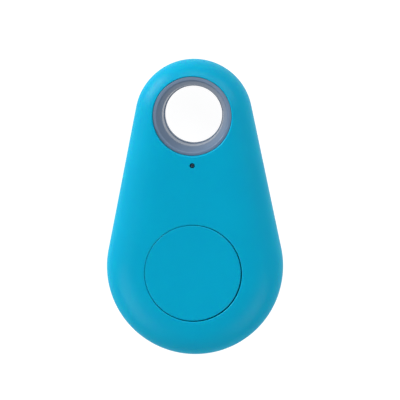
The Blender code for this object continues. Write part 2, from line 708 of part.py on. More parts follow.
def small_parts(body):
    """The chips, crystals and passives soldered to the board's front."""
    low = BOARD_HIGH + SEAT
    for name, size, place, finish in SMALL_PARTS:
        size = tuple(s * MM for s in size)
        centre = (place[0] * MM, place[1] * MM, low + size[2] / 2)
        block(name, size, centre, finish(), body, rounding=min(size) * 0.15)
    led_y = INDICATOR_Y - 0.25 * MM
    base_size, lens_size = (1.6 * MM, 0.8 * MM, 0.2 * MM), (1.0 * MM, 0.7 * MM, 0.35 * MM)
    lens_low = low + base_size[2] + SEAT / 2
    block("led_base", base_size, (0, led_y, low + base_size[2] / 2), white_plastic(), body)
    lens_centre = (0, led_y, lens_low + lens_size[2] / 2)
    block("led_lens", lens_size, lens_centre, white_plastic(), body, rounding=0.15 * MM)
    trace_width, trace_height = 0.45 * MM, 0.06 * MM
    plate("antenna_trace", (ribbon(antenna_path(), trace_width),), low, low + trace_height, copper(), body)


# ------------------------------------------------------------------------ coin cell


def coin_cell(body):
    """The lithium coin cell: the positive can with its crimped rim, the sealing ring, the negative cap."""
    place = (0, WIDE_Y)
    inner = CELL_RADIUS - CELL_SHEET
    corner = 0.25 * MM
    can = [
        (CELL_MOUTH_RADIUS, CELL_RIM),
        (CELL_RADIUS - 0.2 * MM, CELL_RIM),
        (CELL_RADIUS, CELL_RIM - corner),
        (CELL_RADIUS, CELL_LOW + corner),
        (CELL_RADIUS - corner, CELL_LOW),
        (0, CELL_LOW),
        (0, CELL_LOW + CELL_SHEET),
        (inner - 0.1 * MM, CELL_LOW + CELL_SHEET),
        (inner, CELL_LOW + CELL_SHEET + 0.15 * MM),
        (inner, CELL_RIM - 0.3 * MM),
        (CELL_MOUTH_RADIUS, CELL_RIM - 0.2 * MM),
    ]
    turned("cell_can", can, nickel_steel(), place, body, closed=True)
    inside_low = CELL_LOW + 0.6 * MM
    pipe("cell_seal", *CELL_SEAL_RADII, inside_low, CELL_RIM, black_plastic(), place, body)
    skirt_inner = CELL_CAP_RADIUS - CELL_SHEET
    step_z = CELL_RIM - 0.2 * MM
    cap = [
        (0, CELL_HIGH),
        (CELL_CAP_TOP_RADIUS, CELL_HIGH),
        (CELL_CAP_TOP_RADIUS + 0.2 * MM, CELL_HIGH - 0.2 * MM),
        (CELL_CAP_RADIUS, step_z),
        (CELL_CAP_RADIUS, inside_low),
        (skirt_inner, inside_low),
        (skirt_inner, step_z),
        (CELL_CAP_TOP_RADIUS - 0.1 * MM, CELL_HIGH - CELL_SHEET),
        (0, CELL_HIGH - CELL_SHEET),
    ]
    turned("cell_cap", cap, nickel_steel(), place, body)


def holder_pegs():
    """The places of the cradle's three pegs: its two ends and its middle."""
    radius = sum(HOLDER_RADII) / 2
    start, end = math.radians(205), math.radians(335)
    return arc((0, WIDE_Y), radius, start, end, end - start)


def cell_holder(body):
    """The cradle around the cell's lower half, pegged into the board."""
    high = BOARD_LOW - SEAT
    start, end = math.radians(172), math.radians(368)
    inner = arc((0, WIDE_Y), HOLDER_RADII[0], start, end)
    outer = arc((0, WIDE_Y), HOLDER_RADII[1], end, start)
    cradle = plate("cell_holder", (inner + outer,), HOLDER_LOW, high, black_plastic(), body)
    for i, place in enumerate(holder_pegs()):
        join(cradle, small_pin(f"holder_peg_{i + 1}", PEG_RADIUS, high - 0.5 * MM, BOARD_HIGH, place))


def cell_contacts(body):
    """The positive strap that crosses the cell's back, and the dished negative contact in front of it."""
    strap_z = CELL_LOW - SEAT - STRAP_THICKNESS / 2
    leg_x = HOLDER_RADII[1] + 0.25 * MM
    foot_z = BOARD_LOW - SEAT - STRAP_THICKNESS / 2
    right_half = [(leg_x, strap_z), (leg_x, foot_z), (leg_x + STRAP_FOOT, foot_z)]
    path = [(-x, z) for x, z in right_half[::-1]] + right_half
    section = ribbon(path, STRAP_THICKNESS)
    strap = plate("positive_strap", (section,), -STRAP_WIDTH / 2, STRAP_WIDTH / 2, nickel_steel())
    strap.rotation_euler.x = math.pi / 2
    strap.location = (0, WIDE_Y, 0)
    strap.parent = body

    low, high = CELL_HIGH + SEAT, BOARD_LOW - SEAT
    rim_inner = DISH_RADIUS - 1.2 * MM
    slant = 0.1 * MM
    dish = [
        (0, low + DISH_SHEET),
        (DISH_FLOOR_RADIUS, low + DISH_SHEET),
        (rim_inner, high),
        (DISH_RADIUS, high),
        (DISH_RADIUS, high - DISH_SHEET),
        (rim_inner + slant, high - DISH_SHEET),
        (DISH_FLOOR_RADIUS + slant, low),
        (0, low),
    ]
    turned("negative_contact", dish, nickel_steel(), (0, WIDE_Y), body, steps=32)


# ------------------------------------------------------------------------ the tag


def shade_round_faces():
    """Modifiers applied, and every face shaded smooth except across a real edge."""
    bpy.context.view_layer.update()
    graph = bpy.context.evaluated_depsgraph_get()
    pieces = [obj for obj in PARTS.objects if obj.type == "MESH"]
    meshes = [bpy.data.meshes.new_from_object(obj.evaluated_get(graph)) for obj in pieces]
    for obj, mesh in zip(pieces, meshes):
        obj.modifiers.clear()
        obj.data = mesh
        mesh.shade_smooth()
        mesh.set_sharp_from_angle(angle=SHARP_ANGLE)


def main():
    rear_shell()
    front = body_empty("front_body", (0, 0, 0))
    button = body_empty("button_body", (0, BUTTON_Y, 0))
    plunger = body_empty("plunger_body", (0, BUTTON_Y, 0))
    button.parent = plunger.parent = front
    front_shell(front)
    key_hole_liner(front)
    light_pipe(front)
    button_cap(button)
    circuit_board(front)
    board_screws(front)
    tactile_switch(front, plunger)
    buzzer(front)
    small_parts(front)
    coin_cell(front)
    cell_holder(front)
    cell_contacts(front)
    shade_round_faces()


main()
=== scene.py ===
"""The looks of the key-ring tracker tag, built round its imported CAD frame.

The tag lies on its back on a pale floor: +Z comes out of its front face and +Y points to its key-ring end.
"""

import math

import bmesh
import bpy
from mathutils import Matrix, Vector, geometry


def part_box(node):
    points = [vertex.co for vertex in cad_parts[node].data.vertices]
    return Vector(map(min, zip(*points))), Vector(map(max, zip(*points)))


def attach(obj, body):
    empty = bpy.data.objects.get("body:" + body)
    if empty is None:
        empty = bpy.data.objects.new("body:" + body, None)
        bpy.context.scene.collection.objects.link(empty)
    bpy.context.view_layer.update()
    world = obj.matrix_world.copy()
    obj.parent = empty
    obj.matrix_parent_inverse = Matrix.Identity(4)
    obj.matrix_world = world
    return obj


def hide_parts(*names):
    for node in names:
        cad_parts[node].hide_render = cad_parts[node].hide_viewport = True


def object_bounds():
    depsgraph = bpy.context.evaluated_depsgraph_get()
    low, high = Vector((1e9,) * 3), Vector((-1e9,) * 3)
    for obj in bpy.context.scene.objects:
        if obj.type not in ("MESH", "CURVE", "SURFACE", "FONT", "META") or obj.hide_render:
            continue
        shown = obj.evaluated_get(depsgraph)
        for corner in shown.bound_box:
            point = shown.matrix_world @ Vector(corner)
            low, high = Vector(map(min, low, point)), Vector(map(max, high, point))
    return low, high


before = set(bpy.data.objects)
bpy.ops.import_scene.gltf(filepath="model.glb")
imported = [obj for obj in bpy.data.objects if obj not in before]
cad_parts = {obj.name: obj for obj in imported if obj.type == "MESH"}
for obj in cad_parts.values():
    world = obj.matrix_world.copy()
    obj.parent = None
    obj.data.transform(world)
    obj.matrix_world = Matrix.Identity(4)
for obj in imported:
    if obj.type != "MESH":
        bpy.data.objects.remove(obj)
CAD_LOW, CAD_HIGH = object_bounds()

MM = 0.001

# The outline, from the CAD box and the case's narrow end.
WIDE_RADIUS = (CAD_HIGH.x - CAD_LOW.x) / 2
NARROW_RADIUS = 10.25 * MM
WIDE_Y = CAD_LOW.y + WIDE_RADIUS
NARROW_Y = CAD_HIGH.y - NARROW_RADIUS
TANGENT = math.asin((WIDE_RADIUS - NARROW_RADIUS) / (NARROW_Y - WIDE_Y))
FRONT_Z = CAD_HIGH.z

# The case halves, as the CAD has them.
WALL = 1.4 * MM
SEAM_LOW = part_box("rear_shell")[1].z
SEAM_HIGH = SEAM_LOW + 0.1 * MM
TONGUE_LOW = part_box("front_shell")[0].z
FRONT_REACH, FRONT_POWER = 9.5 * MM, 3.2
REAR_REACH, REAR_POWER = 6.0 * MM, 2.6
SEAM_ROUND = 0.14 * MM
TONGUE_INSET, REBATE_INSET, REBATE_DEPTH = 0.9 * MM, 0.75 * MM, 0.95 * MM
PRY_HALF_WIDTH, PRY_DEPTH, PRY_LOW = 3.2 * MM, 0.55 * MM, SEAM_LOW - 0.75 * MM


def centre_of(node):
    low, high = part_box(node)
    return (low + high) / 2


# The round features and their centres.
HOLE = centre_of("key_hole_liner")
BUTTON = centre_of("switch_plunger")
WINDOW = centre_of("light_pipe")
HOLE_RADIUS = 6.88 * MM
HOLE_BOSS_RADIUS = 7.9 * MM
FLANGE_LOW, FLANGE_HIGH = 4.95 * MM, 5.4 * MM
BUTTON_HOLE_RADIUS = 8.52 * MM
POCKET_RADIUS, POCKET_CEILING = 9.55 * MM, 9.45 * MM
GUIDE_RADIUS, GUIDE_LOW = 10.35 * MM, 8.2 * MM
WINDOW_RADIUS = 0.46 * MM
SEAT = 0.05 * MM

# The board, the cell and its fittings.
BOARD_LOW, BOARD_HIGH = (c.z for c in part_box("circuit_board"))
CELL_LOW, CELL_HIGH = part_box("cell_can")[0].z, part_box("cell_cap")[1].z
CELL_RADIUS = (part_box("cell_can")[1].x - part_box("cell_can")[0].x) / 2
CRADLE_INNER, CRADLE_OUTER = 10.2 * MM, 11.0 * MM
CRADLE_MIDDLE = (CRADLE_INNER + CRADLE_OUTER) / 2
PEG_ANGLES = (math.radians(205), math.radians(335))
SCREW_CENTRES = [centre_of(f"board_screw_{number}").xy for number in (1, 2, 3)]

# The studio: the sky's grey at heights from level to overhead, and each softbox's name, azimuth and
# elevation in degrees, width and height in metres, and power in watts.
SKY = ((0.0, 0.7), (0.5, 0.7), (0.8, 0.2))
SKY_STRENGTH = 1.08
SOFTBOXES = (
    ("highlight_strip", 54, 19, (0.27, 0.32), 2.42),
    ("left", 125, 45, (0.25, 0.25), 0.6),
    ("ring_end", 0, 45, (0.25, 0.25), 0.65),
    ("right_ring_end", 315, 45, (0.25, 0.25), 0.712),
    ("right_foot", 225, 45, (0.25, 0.25), 0.5),
)


# ------------------------------------------------------------------------ outline


def arc(centre, radius, start, end, count):
    angles = [start + (end - start) * i / count for i in range(count + 1)]
    return [(centre[0] + radius * math.cos(a), centre[1] + radius * math.sin(a)) for a in angles]


def outline(inset):
    """The teardrop moved inwards by inset, anticlockwise, with the same count of points at every inset.

    Two slim columns of points stand at the sides of the pry slot, at the foot of the wide end.
    """
    narrow = arc((0, NARROW_Y), NARROW_RADIUS - inset, TANGENT, math.pi - TANGENT, 96)
    foot, slot, side = 1.5 * math.pi, math.asin(PRY_HALF_WIDTH / WIDE_RADIUS), math.radians(0.25)
    turns = (
        math.pi - TANGENT, foot - slot - side, foot - slot,
        foot + slot, foot + slot + side, 2 * math.pi + TANGENT,
    )
    wide = []
    for start, end, count in zip(turns, turns[1:], (54, 1, 18, 1, 54)):
        wide += arc((0, WIDE_Y), WIDE_RADIUS - inset, start, end, count)[bool(wide) :]
    points = []
    for stretch, following in ((narrow, wide), (wide, narrow)):
        points += stretch
        start, end = Vector(stretch[-1]), Vector(following[0])
        points += [tuple(start.lerp(end, i / 28)) for i in range(1, 28)]
    return points


def inset_at(x, y):
    """How far inside the outline a point lies."""
    along = -abs(x) * math.sin(TANGENT) + (y - WIDE_Y) * math.cos(TANGENT)
    if along < 0:
        return WIDE_RADIUS - math.hypot(x, y - WIDE_Y)
    if along > (NARROW_Y - WIDE_Y) * math.cos(TANGENT):
        return NARROW_RADIUS - math.hypot(x, y - NARROW_Y)
    return WIDE_RADIUS - abs(x) * math.cos(TANGENT) - (y - WIDE_Y) * math.sin(TANGENT)


def crown(start, end, power):
    """The height of a crowned wall at an inset. It climbs from start to end, both (inset, height)."""

    def height(inset):
        left = min(1.0, max(0.0, (end[0] - inset) / (end[0] - start[0])))
        return start[1] + (end[1] - start[1]) * (1 - left**power) ** (1 / power)

    return height


def crown_steps(start, end, power, last_inset, count):
    """(inset, height) points up the steep part of a crowned wall, at even turns of its curve."""
    left = (end[0] - last_inset) / (end[0] - start[0])
    final = math.acos(left ** (power / 2))
    points = []
    for i in range(count + 1):
        angle = final * i / count
        inset = end[0] - (end[0] - start[0]) * math.cos(angle) ** (2 / power)
        points.append((inset, start[1] + (end[1] - start[1]) * math.sin(angle) ** (2 / power)))
    return points


# ------------------------------------------------------------------------ meshes


def bridge(shape, ring, following):
    """Quads between two closed rings of vertices of the same count."""
    for i, vert in enumerate(ring):
        shape.faces.new((ring[i - 1], vert, following[i], following[i - 1]))


def ring_at(shape, points, z):
    return [shape.verts.new((x, y, z)) for x, y in points]


def circle(centre, radius, count):
    return arc(centre, radius, 0, 2 * math.pi, count)[:-1]


def patch(shape, edge_inset, height, holes):
    """Triangles over the teardrop inside edge_inset, except in the holes, at the height of each inset.

    A hole is (centre, radius, count of sides). Returns the edge's ring of vertices and one for each hole.
    """
    loops = [outline(edge_inset)] + [circle(*hole) for hole in holes]
    points = [point for loop in loops for point in loop]
    edges, first = [], 0
    for loop in loops:
        edges += [(first + i, first + (i + 1) % len(loop)) for i in range(len(loop))]
        first += len(loop)
    taken = set()

    def add(candidates, spacing):
        """Keeps the candidates that lie on the patch and clear of the points before them."""
        for x, y in candidates:
            clear = all(math.hypot(x - c[0], y - c[1]) > r + 0.6 * spacing for c, r, _ in holes)
            cell = (round(x / spacing), round(y / spacing), spacing)
            if clear and inset_at(x, y) > edge_inset + 0.5 * spacing and cell not in taken:
                taken.add(cell)
                points.append((x, y))

    for centre, radius, count in holes:
        step = 2 * math.pi * radius / count
        for k in range(1, 4):
            add(circle(centre, radius + step * (1.4**k - 0.4), count), step * 0.8)
    far = min(NARROW_RADIUS * 0.97, edge_inset + 9 * MM)
    inset = edge_inset + 0.25 * MM
    while inset < far:
        spacing = min(1.0 * MM, 0.3 * MM + 0.1 * (inset - edge_inset))
        near_hole = [h for h in holes if h[1] > 1 * MM]
        ring = outline(inset)[:: max(1, round(spacing / (0.3 * MM)))]
        clear = [
            p for p in ring
            if all(math.hypot(p[0] - c[0], p[1] - c[1]) > r + 1.3 * MM for c, r, _ in near_hole)
        ]
        add(clear, spacing * 0.6)
        inset += spacing
    scaled = [Vector(p) / MM for p in points]
    verts, _, faces, sources, _, _ = geometry.delaunay_2d_cdt(scaled, edges, [], 0, 1e-5)
    made = []
    for vert in verts:
        x, y = vert * MM
        made.append(shape.verts.new((x, y, height(inset_at(x, y)))))
    index = {source: i for i, group in enumerate(sources) for source in group}
    for face in faces:
        x = sum(verts[i].x for i in face) / len(face) * MM
        y = sum(verts[i].y for i in face) / len(face) * MM
        in_hole = any(math.hypot(x - c[0], y - c[1]) < r for c, r, _ in holes)
        if inset_at(x, y) > edge_inset and not in_hole:
            shape.faces.new([made[i] for i in face])
    rings, first = [], 0
    for loop in loops:
        rings.append([made[index[first + i]] for i in range(len(loop))])
        first += len(loop)
    return rings


def hole_edge(shape, centre, radius, count, fillet, height, ring, outwards=False, rising=False, steps=8):
    """A rounded edge between a crowned face's ring and a round wall. Returns the wall's first ring.

    The wall is a hole's, or with outwards a disc's. It goes down from the face, or up with rising.
    """
    side, way = -1 if outwards else 1, 1 if rising else -1
    for k in range(1, steps + 1):
        turn = math.pi / 2 * k / steps
        wide = radius + side * fillet * (1 - math.sin(turn))
        depth = fillet * (1 - math.cos(turn))
        following = []
        for x, y in circle(centre, wide, count):
            following.append(shape.verts.new((x, y, height(inset_at(x, y)) + way * depth)))
        bridge(shape, following, ring)
        ring = following
    return ring


def chain(shape, ring, centre, profile, last_ring=None):
    """Round walls from a ring on through (radius, height) points, to last_ring where one is given."""
    for radius, z in profile:
        following = ring_at(shape, circle(centre, radius, len(ring)), z)
        bridge(shape, following, ring)
        ring = following
    if last_ring:
        bridge(shape, last_ring, ring)
    return ring


def add_block(shape, size, centre, rounding, turn=0.0):
    """A box with all its edges rounded, added to a shape and turned about the vertical."""
    part = bmesh.new()
    bmesh.ops.create_cube(part, size=1.0, matrix=Matrix.Diagonal((*size, 1.0)))
    bmesh.ops.bevel(part, geom=part.edges[:], offset=rounding, segments=3, profile=0.5, affect="EDGES")
    place = Matrix.Translation(centre) @ Matrix.Rotation(turn, 4, "Z")
    bmesh.ops.transform(part, matrix=place, verts=part.verts)
    mesh = bpy.data.meshes.new("block")
    part.to_mesh(mesh)
    part.free()
    shape.from_mesh(mesh)
    bpy.data.meshes.remove(mesh)


def plate(outlines, low, high, rounding):
    """A flat shape between two heights, with rounded edges. Outlines after the first are holes."""
    curve = bpy.data.curves.new("plate", "CURVE")
    curve.dimensions = "2D"
    curve.fill_mode = "BOTH"
    curve.extrude = (high - low) / 2 - rounding
    curve.bevel_depth = rounding
    curve.bevel_resolution = 2
    curve.offset = -rounding
    for points in outlines:
        spline = curve.splines.new("POLY")
        spline.points.add(len(points) - 1)
        for point, (x, y) in zip(spline.points, points):
            point.co = (x, y, 0, 1)
        spline.use_cyclic_u = True
    drawn = bpy.data.objects.new("plate", curve)
    bpy.context.scene.collection.objects.link(drawn)
    mesh = bpy.data.meshes.new_from_object(drawn.evaluated_get(bpy.context.evaluated_depsgraph_get()))
    bpy.data.objects.remove(drawn)
    bpy.data.curves.remove(curve)
    shape = bmesh.new()
    shape.from_mesh(mesh)
    bpy.data.meshes.remove(mesh)
    bmesh.ops.remove_doubles(shape, verts=shape.verts, dist=1e-7)
    bmesh.ops.translate(shape, verts=shape.verts, vec=(0, 0, (low + high) / 2))
    return shape


def make(name, shape, finish, body, replaced):
    """The finished object from a bmesh: normals out, round faces smooth, riding on its CAD body."""
    sharp_from = math.radians(35)
    bmesh.ops.recalc_face_normals(shape, faces=shape.faces)
    mesh = bpy.data.meshes.new(name)
    shape.to_mesh(mesh)
    shape.free()
    mesh.shade_smooth()
    mesh.set_sharp_from_angle(angle=sharp_from)
    mesh.materials.append(finish)
    obj = bpy.data.objects.new(name, mesh)
    bpy.context.scene.collection.objects.link(obj)
    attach(obj, body)
    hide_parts(*replaced)
    return obj


def lathe(shape, profile, centre, count, closed=False):
    """Turns (radius, height) points about the vertical through centre. A radius of 0 ends in a point."""
    rings = []
    for radius, z in profile:
        if radius < 1e-9:
            rings.append([shape.verts.new((centre[0], centre[1], z))])
        else:
            rings.append(ring_at(shape, circle(centre, radius, count), z))
    pairs = list(zip(rings, rings[1:]))
    if closed:
        pairs.append((rings[-1], rings[0]))
    for ring, following in pairs:
        if len(ring) == len(following) == 1:
            continue
        if len(ring) == 1:
            for i in range(len(following)):
                shape.faces.new((ring[0], following[i - 1], following[i]))
        elif len(following) == 1:
            for i in range(len(ring)):
                shape.faces.new((ring[i], ring[i - 1], following[0]))
        else:
            bridge(shape, ring, following)


def rounded_profile(points, radii, steps=5):
    """A profile with its corners rounded. radii has one radius for each point, 0 for a sharp one."""
    result = []
    for i, (point, radius) in enumerate(zip(points, radii)):
        here = Vector(point)
        if radius == 0 or i == 0 or i == len(points) - 1:
            result.append(tuple(here))
            continue
        back = (Vector(points[i - 1]) - here).normalized()
        ahead = (Vector(points[i + 1]) - here).normalized()
        half = math.acos(max(-1, min(1, back.dot(ahead)))) / 2
        reach = radius / math.tan(half)
        middle = here + (back + ahead).normalized() * radius / math.sin(half)
        start, end = here + back * reach - middle, here + ahead * reach - middle
        turn = start.angle_signed(end)
        for k in range(steps + 1):
            angle = -turn * k / steps
            cos, sin = math.cos(angle), math.sin(angle)
            across, up = start.x * cos - start.y * sin, start.x * sin + start.y * cos
            result.append((middle.x + across, middle.y + up))
    return result


# ------------------------------------------------------------------------ materials


class Graph:
    """A few shorthands for building a material's nodes."""

    def __init__(self, name):
        self.material = bpy.data.materials.new(name)
        self.material.use_nodes = True
        self.nodes = self.material.node_tree.nodes
        self.links = self.material.node_tree.links
        self.shader = self.nodes["Principled BSDF"]
        self.place = self.nodes.new("ShaderNodeTexCoord").outputs["Object"]

    def set(self, **values):
        """Constant values on the shader, such as base_color=(r, g, b)."""
        for key, value in values.items():
            socket = self.shader.inputs[key.replace("_", " ").title().replace("Ior", "IOR")]
            socket.default_value = (*value, 1) if socket.type == "RGBA" else value

    def link(self, output, socket):
        self.links.new(output, self.shader.inputs[socket] if isinstance(socket, str) else socket)

    def noise(self, size, detail=2.0, roughness=0.5, stretch=(1, 1, 1)):
        """Noise whose features measure about size in metres, drawn out along an axis by stretch."""
        mapping = self.nodes.new("ShaderNodeMapping")
        mapping.inputs["Scale"].default_value = [1 / (size * s) for s in stretch]
        self.links.new(self.place, mapping.inputs["Vector"])
        texture = self.nodes.new("ShaderNodeTexNoise")
        texture.inputs["Scale"].default_value = 1
        texture.inputs["Detail"].default_value = detail
        texture.inputs["Roughness"].default_value = roughness
        self.links.new(mapping.outputs["Vector"], texture.inputs["Vector"])
        return texture.outputs["Fac"]

    def ramp(self, value, *stops):
        """A colour ramp. Each stop is (position, colour or grey level)."""
        ramp = self.nodes.new("ShaderNodeValToRGB")
        elements = ramp.color_ramp.elements
        while len(elements) < len(stops):
            elements.new(0.5)
        for element, (position, colour) in zip(elements, stops):
            element.position = position
            element.color = (*colour, 1) if isinstance(colour, tuple) else (colour, colour, colour, 1)
        self.links.new(value, ramp.inputs["Fac"])
        return ramp.outputs["Color"]

    def maths(self, operation, a, b):
        node = self.nodes.new("ShaderNodeMath")
        node.operation = operation
        for i, value in enumerate((a, b)):
            if isinstance(value, (int, float)):
                node.inputs[i].default_value = value
            else:
                self.links.new(value, node.inputs[i])
        return node.outputs[0]

    def mix(self, share, low, high):
        """A colour that turns from low to high as share goes from 0 to 1."""
        node = self.nodes.new("ShaderNodeMix")
        node.data_type = "RGBA"
        colours = [socket for socket in node.inputs if socket.type == "RGBA"]
        self.links.new(share, node.inputs["Factor"])
        self.links.new(low, colours[0])
        self.links.new(high, colours[1])
        return [socket for socket in node.outputs if socket.type == "RGBA"][0]

    def span(self, value, low, high):
        """A value from 0 to 1 stretched to run from low to high."""
        node = self.nodes.new("ShaderNodeMapRange")
        node.inputs["To Min"].default_value = low
        node.inputs["To Max"].default_value = high
        self.links.new(value, node.inputs["Value"])
        return node.outputs["Result"]

    def bump(self, height, distance, over=None):
        node = self.nodes.new("ShaderNodeBump")
        node.inputs["Distance"].default_value = distance
        node.inputs["Strength"].default_value = 1.0
        self.links.new(height, node.inputs["Height"])
        if over is not None:
            self.links.new(over, node.inputs["Normal"])
        return node.outputs["Normal"]


def satin_case():
    """Spark-textured ABS: a fine grain, a faint uneven tone, and a finish smoother in places.

    Its gloss is a thin coat over a base without one, which keeps the rims from going white.
    """
    g = Graph("satin_case_blue")
    tone = g.ramp(g.noise(9 * MM, 3), (0.3, (0.0, 0.264, 0.420)), (0.7, (0.0, 0.276, 0.434)))
    g.link(tone, "Base Color")
    g.link(g.span(g.noise(0.9 * MM, 4, 0.6), 0.27, 0.31), "Roughness")
    g.set(specular_ior_level=0.0, coat_weight=0.2, coat_roughness=0.3, coat_ior=1.5)
    g.set(subsurface_weight=0.3, subsurface_radius=(0.05, 0.35, 1.0), subsurface_scale=1.0 * MM)
    grain = g.bump(g.noise(0.09 * MM, 3, 0.6), 0.004 * MM)
    relief = g.bump(g.noise(1.6 * MM, 2), 0.006 * MM, over=grain)
    g.link(relief, "Normal")
    g.link(relief, "Coat Normal")
    return g.material


def glossy_liner():
    """Hard grey-blue plastic with a moulded gloss and faint turning marks."""
    g = Graph("glossy_liner_grey")
    tone = g.ramp(g.noise(3 * MM, 3), (0.3, (0.112, 0.158, 0.230)), (0.7, (0.118, 0.166, 0.241)))
    g.link(tone, "Base Color")
    g.link(g.span(g.noise(0.7 * MM, 4), 0.2, 0.25), "Roughness")
    g.set(specular_ior_level=0.25)
    g.link(g.bump(g.noise(0.8 * MM, 2), 0.0008 * MM), "Normal")
    return g.material


def smoked_window():
    """Clear plastic with a dark blue smoke, polished, with a few dust-fine specks in it."""
    g = Graph("smoked_window")
    tone = g.ramp(g.noise(0.2 * MM, 3), (0.35, (0.004, 0.018, 0.035)), (0.7, (0.006, 0.045, 0.075)))
    g.link(tone, "Base Color")
    g.link(g.span(g.noise(0.12 * MM, 2), 0.06, 0.14), "Roughness")
    g.set(coat_weight=1.0, coat_roughness=0.03)
    return g.material


def board_green():
    """Solder mask over copper pours and the bare laminate between them, with tan glass-cloth edges."""
    g = Graph("board_green")
    pours = g.nodes.new("ShaderNodeTexBrick")
    pours.offset, pours.offset_frequency = 0.37, 3
    pours.squash, pours.squash_frequency = 0.45, 4
    pours.inputs["Scale"].default_value = 1
    pours.inputs["Brick Width"].default_value = 8.3 * MM
    pours.inputs["Row Height"].default_value = 0.62 * MM
    pours.inputs["Mortar Size"].default_value = 0.075 * MM
    pours.inputs["Color1"].default_value = (0.012, 0.14, 0.055, 1)
    pours.inputs["Color2"].default_value = (0.010, 0.12, 0.048, 1)
    pours.inputs["Mortar"].default_value = (0.005, 0.055, 0.025, 1)
    g.links.new(g.place, pours.inputs["Vector"])
    cloth = g.noise(0.35 * MM, 3, stretch=(4, 4, 0.3))
    weave = g.ramp(cloth, (0.35, (0.30, 0.24, 0.12)), (0.7, (0.42, 0.35, 0.2)))
    normal = g.nodes.new("ShaderNodeNewGeometry").outputs["True Normal"]
    split = g.nodes.new("ShaderNodeSeparateXYZ")
    g.links.new(normal, split.inputs["Vector"])
    edge = g.maths("LESS_THAN", g.maths("ABSOLUTE", split.outputs["Z"], 0), 0.7)
    g.link(g.mix(edge, pours.outputs["Color"], weave), "Base Color")
    g.link(g.span(g.noise(0.5 * MM, 3), 0.3, 0.45), "Roughness")
    relief = g.bump(pours.outputs["Fac"], -0.02 * MM)
    g.link(g.bump(g.noise(0.25 * MM, 2), 0.004 * MM, over=relief), "Normal")
    return g.material


def black_plastic():
    """Glass-filled moulding plastic: near black, matte, finely pitted."""
    g = Graph("black_plastic")
    tone = g.ramp(g.noise(0.4 * MM, 4), (0.3, (0.012, 0.012, 0.013)), (0.75, (0.024, 0.024, 0.026)))
    g.link(tone, "Base Color")
    g.link(g.span(g.noise(0.25 * MM, 3), 0.42, 0.6), "Roughness")
    g.link(g.bump(g.noise(0.06 * MM, 3, 0.6), 0.005 * MM), "Normal")
    return g.material


def nickel_steel():
    """Nickel-plated sheet steel: rolling marks along Y, and a soft stain here and there."""
    g = Graph("nickel_steel")
    marks = g.noise(0.05 * MM, 3, 0.6, stretch=(1, 40, 1))
    g.link(g.ramp(g.noise(2.5 * MM, 4), (0.3, (0.56, 0.55, 0.52)), (0.7, (0.66, 0.65, 0.62))), "Base Color")
    g.link(g.span(marks, 0.2, 0.38), "Roughness")
    g.set(metallic=1.0)
    g.link(g.bump(marks, 0.0015 * MM), "Normal")
    return g.material


def copper():
    """Lacquered copper with fine winding or etching marks."""
    g = Graph("copper")
    g.link(g.ramp(g.noise(0.5 * MM, 3), (0.3, (0.74, 0.40, 0.20)), (0.7, (0.84, 0.50, 0.27))), "Base Color")
    g.link(g.span(g.noise(0.1 * MM, 2), 0.25, 0.42), "Roughness")
    g.set(metallic=1.0)
    g.link(g.bump(g.noise(0.04 * MM, 2, stretch=(8, 8, 1)), 0.004 * MM), "Normal")
    return g.material


def chip_ceramic():
    """Fired ceramic: tan, matte, faintly mottled."""
    g = Graph("chip_ceramic")
    g.link(g.ramp(g.noise(0.15 * MM, 4), (0.3, (0.38, 0.27, 0.17)), (0.7, (0.48, 0.36, 0.25))), "Base Color")
    g.link(g.span(g.noise(0.1 * MM, 3), 0.5, 0.7), "Roughness")
    g.link(g.bump(g.noise(0.04 * MM, 3), 0.003 * MM), "Normal")
    return g.material


def led_white():
    """White moulding plastic with a milky lens tone."""
    g = Graph("led_white")
    g.link(g.ramp(g.noise(0.3 * MM, 3), (0.3, (0.74, 0.74, 0.7)), (0.7, (0.84, 0.84, 0.79))), "Base Color")
    g.link(g.span(g.noise(0.1 * MM, 2), 0.3, 0.45), "Roughness")
    g.set(subsurface_weight=0.1)
    g.link(g.bump(g.noise(0.05 * MM, 2), 0.002 * MM), "Normal")
    return g.material


# ------------------------------------------------------------------------ case


